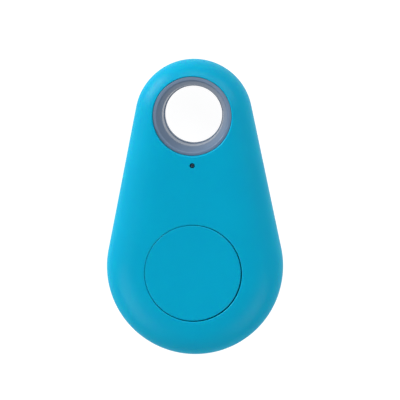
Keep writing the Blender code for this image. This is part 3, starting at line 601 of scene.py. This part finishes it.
def front_case(finish):
    """The front half: crowned outside, rounded openings, their bosses and guide, inside skin and tongue."""
    start, end = (0.0, SEAM_HIGH), (FRONT_REACH, FRONT_Z)
    inside_start, inside_end = (WALL, SEAM_HIGH), (FRONT_REACH, FRONT_Z - WALL)
    outer = crown(start, end, FRONT_POWER)
    inner = crown(inside_start, inside_end, FRONT_POWER)
    boss_low = FLANGE_HIGH + SEAT
    hole_walls = [(HOLE_RADIUS, boss_low), (HOLE_BOSS_RADIUS, boss_low)]
    button_walls = [
        (BUTTON_HOLE_RADIUS, POCKET_CEILING), (POCKET_RADIUS, POCKET_CEILING),
        (POCKET_RADIUS, GUIDE_LOW), (GUIDE_RADIUS, GUIDE_LOW),
    ]
    openings = (
        # centre, radius, sides, rounding of its edge, radius where it meets the inside skin, walls between
        (HOLE.xy, HOLE_RADIUS, 160, 0.24 * MM, HOLE_BOSS_RADIUS, hole_walls),
        (BUTTON.xy, BUTTON_HOLE_RADIUS, 192, 0.18 * MM, GUIDE_RADIUS, button_walls),
        (WINDOW.xy, WINDOW_RADIUS, 40, 0.06 * MM, WINDOW_RADIUS, []),
    )
    shape = bmesh.new()
    steep = 1.9 * MM
    seam = rounded_seam(SEAM_HIGH, 1)
    wall = [p for p in crown_steps(start, end, FRONT_POWER, steep, 22) if p[1] > SEAM_HIGH + SEAM_ROUND]
    inside_wall = crown_steps(inside_start, inside_end, FRONT_POWER, WALL + steep, 14)
    chamfer = 0.1 * MM
    tongue = [
        (WALL, TONGUE_LOW), (TONGUE_INSET + chamfer, TONGUE_LOW),
        (TONGUE_INSET, TONGUE_LOW + chamfer), (TONGUE_INSET, SEAM_HIGH),
    ]
    section = inside_wall[-2::-1] + tongue + seam + wall[:-1]
    tops = patch(shape, steep, outer, [(c, r + f, n) for c, r, n, f, _, _ in openings])
    lows = patch(shape, WALL + steep, inner, [(c, r, n) for c, _, n, _, r, _ in openings])
    rings = [lows[0]] + [ring_at(shape, outline(inset), z) for inset, z in section] + [tops[0]]
    for ring, following in zip(rings, rings[1:]):
        bridge(shape, ring, following)
    for (centre, radius, count, fillet, _, walls), top, low in zip(openings, tops[1:], lows[1:]):
        edge = hole_edge(shape, centre, radius, count, fillet, outer, top)
        chain(shape, edge, centre, walls, low)
    cut_key_notches(shape)
    pilot, boss = 0.55 * MM, 1.35 * MM
    foot, head = BOARD_HIGH + SEAT, FRONT_Z - WALL + 0.1 * MM
    corners = [(pilot, head), (boss, head), (boss, foot), (pilot, foot)]
    profile = rounded_profile(corners, (0, 0, 0.12 * MM, 0))
    for centre in SCREW_CENTRES:
        lathe(shape, profile, centre, 48, closed=True)
    return make("front_case", shape, finish, "front", ["front_shell"])


def key_turns():
    """The angles around the button of the keys that stop it turning."""
    return [math.pi / 2 + 2 * math.pi * key / 3 for key in range(3)]


def cut_key_notches(shape):
    """Moves the button guide's inner wall outwards where the button's keys run in it."""
    depth, half_turn, slack = 0.45 * MM, 1.1 * MM / POCKET_RADIUS, 0.01 * MM
    for vert in shape.verts:
        reach = vert.co.xy - BUTTON.xy
        in_guide = GUIDE_LOW - slack < vert.co.z < POCKET_CEILING + slack
        if not in_guide or abs(reach.length - POCKET_RADIUS) > slack:
            continue
        turn = math.atan2(reach.y, reach.x)
        nearest = min(abs(math.remainder(turn - key, 2 * math.pi)) for key in key_turns())
        if nearest < half_turn:
            vert.co.xy = BUTTON.xy + reach * (1 + depth / POCKET_RADIUS)


def rounded_seam(height, side):
    """The rounded edge of a wall at the parting line. side is 1 for the front half, -1 for the rear."""
    points = []
    for turn in quarter(4):
        inset, rise = SEAM_ROUND * (1 - math.sin(turn)), SEAM_ROUND * (1 - math.cos(turn))
        points.append((inset, height + side * rise))
    return points


def rear_case(finish):
    """The rear half: crowned outside, flat back, rebate, pry slot, hole boss and the ribs under the cell."""
    start, end = (0.0, SEAM_LOW), (REAR_REACH, 0.0)
    rebate_low = SEAM_LOW - REBATE_DEPTH
    inside_start, inside_end = (WALL, rebate_low), (REAR_REACH, WALL)
    outer = crown(start, end, REAR_POWER)
    inner = crown(inside_start, inside_end, REAR_POWER)
    shape = bmesh.new()
    steep = 2.2 * MM
    wall = [p for p in crown_steps(start, end, REAR_POWER, steep, 20) if p[1] < SEAM_LOW - SEAM_ROUND]
    slot_floor = []
    for z in (PRY_LOW + 0.03 * MM, PRY_LOW):
        left = 1 - ((SEAM_LOW - z) / SEAM_LOW) ** REAR_POWER
        slot_floor.append((REAR_REACH * (1 - left ** (1 / REAR_POWER)), z))
    wall = sorted(wall + slot_floor, key=lambda point: -point[1])
    inside_wall = crown_steps(inside_start, inside_end, REAR_POWER, WALL + steep, 12)
    rebate = [(REBATE_INSET, rebate_low), (REBATE_INSET, SEAM_LOW)]
    section = inside_wall[-2::-1] + rebate + rounded_seam(SEAM_LOW, -1) + wall[:-1]
    fillet, count = 0.3 * MM, 160
    lows = patch(shape, steep, outer, [(HOLE.xy, HOLE_RADIUS + fillet, count)])
    floor = patch(shape, WALL + steep, inner, [(HOLE.xy, HOLE_BOSS_RADIUS, count)])
    rings = [floor[0]] + [ring_at(shape, outline(inset), z) for inset, z in section] + [lows[0]]
    for ring, following in zip(rings, rings[1:]):
        bridge(shape, ring, following)
    ring = hole_edge(shape, HOLE.xy, HOLE_RADIUS, count, fillet, outer, lows[1], rising=True, steps=6)
    boss_high = FLANGE_LOW - SEAT
    chain(shape, ring, HOLE.xy, [(HOLE_RADIUS, boss_high), (HOLE_BOSS_RADIUS, boss_high)], floor[1])
    cut_pry_slot(shape)
    rib_size, rib_offset, rib_sink = (12 * MM, 0.8 * MM), 5.5 * MM, 0.3 * MM
    rib_low, rib_high = WALL - rib_sink, CELL_LOW - 0.1 * MM
    for side in (-1, 1):
        centre = (0, WIDE_Y + side * rib_offset, (rib_low + rib_high) / 2)
        add_block(shape, (*rib_size, rib_high - rib_low), centre, 0.12 * MM)
    return make("rear_case", shape, finish, "rear", ["rear_shell"])


def cut_pry_slot(shape):
    """Moves the outer skin in at the foot of the wide end, to leave a slot that a coin or nail fits."""
    back, slack = CAD_LOW.y + PRY_DEPTH, 0.01 * MM
    for vert in shape.verts:
        inside_slot = abs(vert.co.x) < PRY_HALF_WIDTH + slack and vert.co.z > PRY_LOW + slack
        if inside_slot and vert.co.y < back:
            vert.co.y = back


def ring_hole_liner(finish):
    """The liner: rounded lips at both ends, a funnel with a small ledge above its throat, and the flange."""
    low, high = (c.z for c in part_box("key_hole_liner"))
    middle, half = (low + high) / 2, (high - low) / 2
    tight, loose = HOLE_RADIUS - 0.035 * MM, HOLE_RADIUS - 0.1 * MM
    throat, flange_radius = 5.0 * MM, 7.6 * MM
    top = [
        (loose, half - 1.9 * MM), (tight, half - 1.8 * MM),
        (tight, half), (6.3 * MM, half), (6.04 * MM, half - 0.45 * MM),
        (5.35 * MM, half - 1.9 * MM), (5.14 * MM, 0.62 * MM), (throat, 0.5 * MM),
    ]
    radii = (0, 0, 0.08 * MM, 0.26 * MM, 0.3 * MM, 1.2 * MM, 0.05 * MM, 0.06 * MM)
    rounded = rounded_profile(top + [(throat, 0)], (*radii, 0), steps=8)
    upper = [(r, middle + z) for r, z in rounded]
    lower = [(min(r, loose), middle - z) for r, z in rounded[-2:1:-1]]
    flange = [
        (loose, FLANGE_LOW), (flange_radius, FLANGE_LOW),
        (flange_radius, FLANGE_HIGH), (loose, FLANGE_HIGH),
    ]
    shape = bmesh.new()
    lathe(shape, upper + lower + flange, HOLE.xy, 192, closed=True)
    return make("ring_hole_liner", shape, finish, "front", ["key_hole_liner"])


def push_button(finish):
    """The button: a disc whose top follows the face, with a rounded edge, on its flange, keys and nub.

    It lies a hair towards the upper left of its hole, as a loose button does.
    """
    low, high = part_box("button_cap")
    radius, fillet = 8.42 * MM, 0.2 * MM
    play = Vector((-0.082 * MM, 0.05 * MM))
    centre = BUTTON.xy + play
    face = crown((0.0, SEAM_HIGH), (FRONT_REACH, FRONT_Z), FRONT_POWER)

    def lowered(inset):
        return face(inset) - (FRONT_Z - high.z)

    shape = bmesh.new()
    count = 192
    middle = shape.verts.new((*centre, lowered(inset_at(*centre))))
    rings = []
    top_rings = 14
    for k in range(1, top_rings + 1):
        reach = (radius - fillet) * math.sin(math.pi / 2 * k / top_rings)
        ring = [shape.verts.new((x, y, lowered(inset_at(x, y)))) for x, y in circle(centre, reach, count)]
        rings.append(ring)
    for i in range(count):
        shape.faces.new((middle, rings[0][i - 1], rings[0][i]))
    for ring, following in zip(rings, rings[1:]):
        bridge(shape, ring, following)
    edge = hole_edge(shape, centre, radius, count, fillet, lowered, rings[-1], outwards=True)
    flange_high, flange_low, flange_radius = 9.35 * MM, 8.65 * MM, 9.25 * MM
    nub = 1.5 * MM
    below = [
        (radius, flange_high), (flange_radius, flange_high), (flange_radius, flange_low),
        (nub, flange_low), (nub, low.z),
    ]
    shape.faces.new(chain(shape, edge, centre, below))
    key_size, key_middle, key_rounding = (1.1 * MM, 1.6 * MM, 0.5 * MM), 8.95 * MM, 0.08 * MM
    for turn in key_turns():
        place = centre + (flange_radius + 0.1 * MM) * Vector((math.cos(turn), math.sin(turn)))
        add_block(shape, key_size, (*place, key_middle), key_rounding, turn)
    return make("push_button", shape, finish, "button", ["button_cap"])


def indicator_window(finish):
    """The light pipe: a small dome sunk in its hole, a collar behind the face and a stem to the light."""
    low, high = (c.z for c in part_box("light_pipe"))
    window, collar, stem = WINDOW_RADIUS - 0.03 * MM, 0.65 * MM, 0.45 * MM
    ceiling = FRONT_Z - WALL - SEAT
    dome = [(window * math.sin(a), high - 0.2 * MM * (1 - math.cos(a))) for a in quarter(8)]
    walls = rounded_profile(
        [dome[-1], (window, ceiling), (collar, ceiling), (collar, ceiling - 0.4 * MM),
         (stem, ceiling - 0.5 * MM), (stem, low), (0, low)],
        (0, 0, 0.08 * MM, 0.08 * MM, 0, 0.08 * MM, 0),
    )
    shape = bmesh.new()
    lathe(shape, dome + walls[1:], WINDOW.xy, 40)
    return make("indicator_window", shape, finish, "front", ["light_pipe"])


def quarter(steps):
    return [math.pi / 2 * i / steps for i in range(steps + 1)]


# ------------------------------------------------------------------------ inside


def coin_cell(steel, seal):
    """The cell: can with its crimped rim, sealing ring, and the cap with its shoulder, all turned."""
    place = (0, WIDE_Y)
    sheet = 0.25 * MM
    rim = CELL_HIGH - 0.45 * MM
    inner = CELL_RADIUS - sheet
    crimp = 9.45 * MM
    can = rounded_profile(
        [(crimp, rim - sheet), (crimp, rim), (CELL_RADIUS, rim), (CELL_RADIUS, CELL_LOW), (0, CELL_LOW)],
        (0, 0.08 * MM, 0.3 * MM, 0.45 * MM, 0),
    )
    inside = [(0, CELL_LOW + sheet), (inner, CELL_LOW + sheet), (inner, rim - sheet)]
    shape = bmesh.new()
    lathe(shape, can + inside, place, 160, closed=True)
    make("cell_can_piece", shape, steel, "front", ["cell_can"])

    shape = bmesh.new()
    low = CELL_LOW + 0.6 * MM
    seal_inner, seal_outer = 9.1 * MM, 9.4 * MM
    ring = [(seal_inner, low), (seal_inner, rim), (seal_outer, rim), (seal_outer, low)]
    lathe(shape, ring, place, 160, closed=True)
    make("cell_seal_piece", shape, seal, "front", ["cell_seal"])

    shape = bmesh.new()
    cap = rounded_profile(
        [(0, CELL_HIGH), (8.7 * MM, CELL_HIGH), (8.85 * MM, rim - 0.1 * MM), (9.05 * MM, rim - 0.25 * MM),
         (9.05 * MM, low), (8.8 * MM, low), (8.8 * MM, rim - 0.3 * MM), (8.45 * MM, CELL_HIGH - sheet),
         (0, CELL_HIGH - sheet)],
        (0, 0.25 * MM, 0.1 * MM, 0.08 * MM, 0, 0, 0, 0, 0),
    )
    lathe(shape, cap, place, 160)
    make("cell_cap_piece", shape, steel, "front", ["cell_cap"])


def peg_centres():
    """Where the cradle's pegs go up through the board."""
    return [(CRADLE_MIDDLE * math.cos(turn), WIDE_Y + CRADLE_MIDDLE * math.sin(turn)) for turn in PEG_ANGLES]


def cell_cradle(finish):
    """The cradle round the cell's lower half, with rounded edges, and its pegs up through the board."""
    low, high = (c.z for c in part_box("cell_holder"))
    wall_high = BOARD_LOW - SEAT
    start, end = math.radians(172), math.radians(368)
    inner = arc((0, WIDE_Y), CRADLE_INNER, start, end, 98)
    outer = arc((0, WIDE_Y), CRADLE_OUTER, end, start, 98)
    shape = plate([inner + outer], low, wall_high, 0.08 * MM)
    peg = 0.35 * MM
    root = wall_high - 0.2 * MM
    profile = rounded_profile([(0, high), (peg, high), (peg, root), (0, root)], (0, 0.1 * MM, 0, 0))
    for centre in peg_centres():
        lathe(shape, profile, centre, 24)
    return make("battery_cradle", shape, finish, "front", ["cell_holder"])


def positive_strap(finish):
    """The spring strap across the cell's back: bent from sheet with rounded bends and soft edges."""
    low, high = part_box("positive_strap")
    sheet, width = 0.2 * MM, high.y - low.y
    top_z = high.z - sheet / 2
    bottom_z = low.z + sheet / 2
    leg_x = 11.25 * MM
    half = [(leg_x, bottom_z), (leg_x, top_z), (high.x, top_z)]
    path = [(-x, z) for x, z in half[::-1]] + half
    bend = 0.4 * MM
    centre = rounded_profile(path, (0, bend, bend, bend, bend, 0), steps=6)
    sides = ([], [])
    for i, point in enumerate(centre):
        ahead = Vector(centre[min(i + 1, len(centre) - 1)]) - Vector(centre[max(i - 1, 0)])
        across = Vector((-ahead.y, ahead.x)).normalized() * sheet / 2
        sides[0].append(tuple(Vector(point) + across))
        sides[1].append(tuple(Vector(point) - across))
    shape = plate([sides[0] + sides[1][::-1]], -width / 2, width / 2, 0.04 * MM)
    stand = Matrix.Translation((0, (low.y + high.y) / 2, 0)) @ Matrix.Rotation(math.pi / 2, 4, "X")
    bmesh.ops.transform(shape, matrix=stand, verts=shape.verts)
    return make("spring_strap", shape, finish, "front", ["positive_strap"])


def board(finish):
    """The circuit board with fine round edges. Its top edge curves round the key-hole boss."""
    inset, neck_radius, corner = WALL + 0.35 * MM, 8.3 * MM, 1.0 * MM
    screw_hole, peg_hole = 0.7 * MM, 0.5 * MM
    top_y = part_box("circuit_board")[1].y
    wide = arc((0, WIDE_Y), WIDE_RADIUS - inset, math.pi - TANGENT, 2 * math.pi + TANGENT, 128)
    corner_y = top_y - corner
    reach = WIDE_RADIUS - inset - corner - (corner_y - WIDE_Y) * math.sin(TANGENT)
    corner_x = reach / math.cos(TANGENT)
    half, down = math.acos((HOLE.y - top_y) / neck_radius), -math.pi / 2
    edge = wide + arc((corner_x, corner_y), corner, TANGENT, math.pi / 2, 12)
    edge += arc(HOLE.xy, neck_radius, down + half, down - half, 32)
    edge += arc((-corner_x, corner_y), corner, math.pi / 2, math.pi - TANGENT, 12)
    holes = [circle(centre, screw_hole, 32) for centre in SCREW_CENTRES]
    holes += [circle(centre, peg_hole, 24) for centre in peg_centres()]
    shape = plate([edge] + holes, BOARD_LOW, BOARD_HIGH, 0.03 * MM)
    return make("board_with_tracks", shape, finish, "front", ["circuit_board"])


# ------------------------------------------------------------------------ studio


def camera():
    """Almost straight above the face, a little from the ring end and from the right, with a long lens."""
    lens, distance = 271.0, 529 * MM
    from_right, from_ring_end, roll = math.radians(3.6), math.radians(6.9), math.radians(0.45)
    target = Vector((0.95 * MM, 1.18 * MM, SEAM_LOW))
    back = Vector((math.tan(from_right), math.tan(from_ring_end), 1)).normalized()
    up = Vector((math.sin(roll), math.cos(roll), 0))
    right = (-back).cross(up).normalized()
    up = right.cross(-back)
    data = bpy.data.cameras.new("camera")
    data.lens, data.sensor_width = lens, 36
    data.clip_start, data.clip_end = 0.01, 10
    obj = bpy.data.objects.new("camera", data)
    turn = Matrix((right, up, back)).transposed().to_4x4()
    obj.matrix_world = Matrix.Translation(target + back * distance) @ turn
    bpy.context.scene.collection.objects.link(obj)
    bpy.context.scene.camera = obj


def softbox(name, azimuth, elevation, size, power):
    """A white softbox half a metre off, aimed at the tag. Azimuth turns from the ring end towards -X."""
    turn, rise, distance = math.radians(azimuth), math.radians(elevation), 0.5
    away = Vector((-math.sin(turn) * math.cos(rise), math.cos(turn) * math.cos(rise), math.sin(rise)))
    data = bpy.data.lights.new(name, "AREA")
    data.shape = "RECTANGLE"
    data.size, data.size_y = size
    data.energy = power
    obj = bpy.data.objects.new(name, data)
    obj.location = away * distance
    obj.rotation_euler = (-away).to_track_quat("-Z", "Y").to_euler()
    bpy.context.scene.collection.objects.link(obj)


def studio():
    """A white floor, pale walls that darken overhead, and softboxes around the tag, all neutral in colour."""
    world = bpy.data.worlds.new("studio")
    world.use_nodes = True
    nodes, links = world.node_tree.nodes, world.node_tree.links
    background = nodes["Background"]
    place = nodes.new("ShaderNodeTexCoord").outputs["Generated"]
    split = nodes.new("ShaderNodeSeparateXYZ")
    links.new(place, split.inputs["Vector"])
    ramp = nodes.new("ShaderNodeValToRGB")
    elements = ramp.color_ramp.elements
    elements.new(0.5)
    for element, (height, grey) in zip(elements, SKY):
        element.position = height
        element.color = (grey, grey, grey, 1)
    links.new(split.outputs["Z"], ramp.inputs["Fac"])
    links.new(ramp.outputs["Color"], background.inputs["Color"])
    background.inputs["Strength"].default_value = SKY_STRENGTH
    bpy.context.scene.world = world

    for box in SOFTBOXES:
        softbox(*box)

    mesh = bpy.data.meshes.new("floor")
    half = 1.5
    corners = [(-half, -half, 0), (half, -half, 0), (half, half, 0), (-half, half, 0)]
    mesh.from_pydata(corners, [], [(0, 1, 2, 3)])
    g = Graph("pale_floor")
    g.link(g.ramp(g.noise(40 * MM, 3), (0.3, 0.14), (0.7, 0.16)), "Base Color")
    g.set(roughness=0.7, specular_ior_level=0.1, emission_color=(1.0, 1.0, 1.0), emission_strength=0.95)
    mesh.materials.append(g.material)
    floor = bpy.data.objects.new("floor", mesh)
    bpy.context.scene.collection.objects.link(floor)

    view = bpy.context.scene.view_settings
    view.view_transform = "Standard"
    view.look = "None"
    view.exposure, view.gamma = 0, 1


CAD_FINISHES = {
    # CAD nodes that keep their own shape, by material slot
    "black_plastic": (
        "buzzer_case", "buzzer_magnet", "driver_resistor", "driver_transistor", "flyback_diode",
        "led_resistor", "pull_up_resistor", "radio_chip", "switch_base", "switch_plunger",
    ),
    "nickel_steel": (
        "board_screw_1", "board_screw_2", "board_screw_3", "buzzer_base", "buzzer_core", "buzzer_diaphragm",
        "clock_crystal", "negative_contact", "radio_crystal", "switch_cover", "switch_dome",
    ),
    "copper": ("antenna_trace", "buzzer_coil"),
    "chip_ceramic": (
        "antenna_capacitor_1", "antenna_capacitor_2", "crystal_capacitor_1", "crystal_capacitor_2",
        "supply_capacitor_1", "supply_capacitor_2", "supply_inductor",
    ),
    "led_white": ("led_base", "led_lens"),
}


def main():
    camera()
    studio()
    case = satin_case()
    finishes = {
        "black_plastic": black_plastic(),
        "nickel_steel": nickel_steel(),
        "copper": copper(),
        "chip_ceramic": chip_ceramic(),
        "led_white": led_white(),
    }
    front_case(case)
    rear_case(case)
    push_button(case)
    ring_hole_liner(glossy_liner())
    indicator_window(smoked_window())
    coin_cell(finishes["nickel_steel"], finishes["black_plastic"])
    cell_cradle(finishes["black_plastic"])
    positive_strap(finishes["nickel_steel"])
    board(board_green())
    for slot, nodes in CAD_FINISHES.items():
        for node in nodes:
            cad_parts[node].data.materials[0] = finishes[slot]


main()
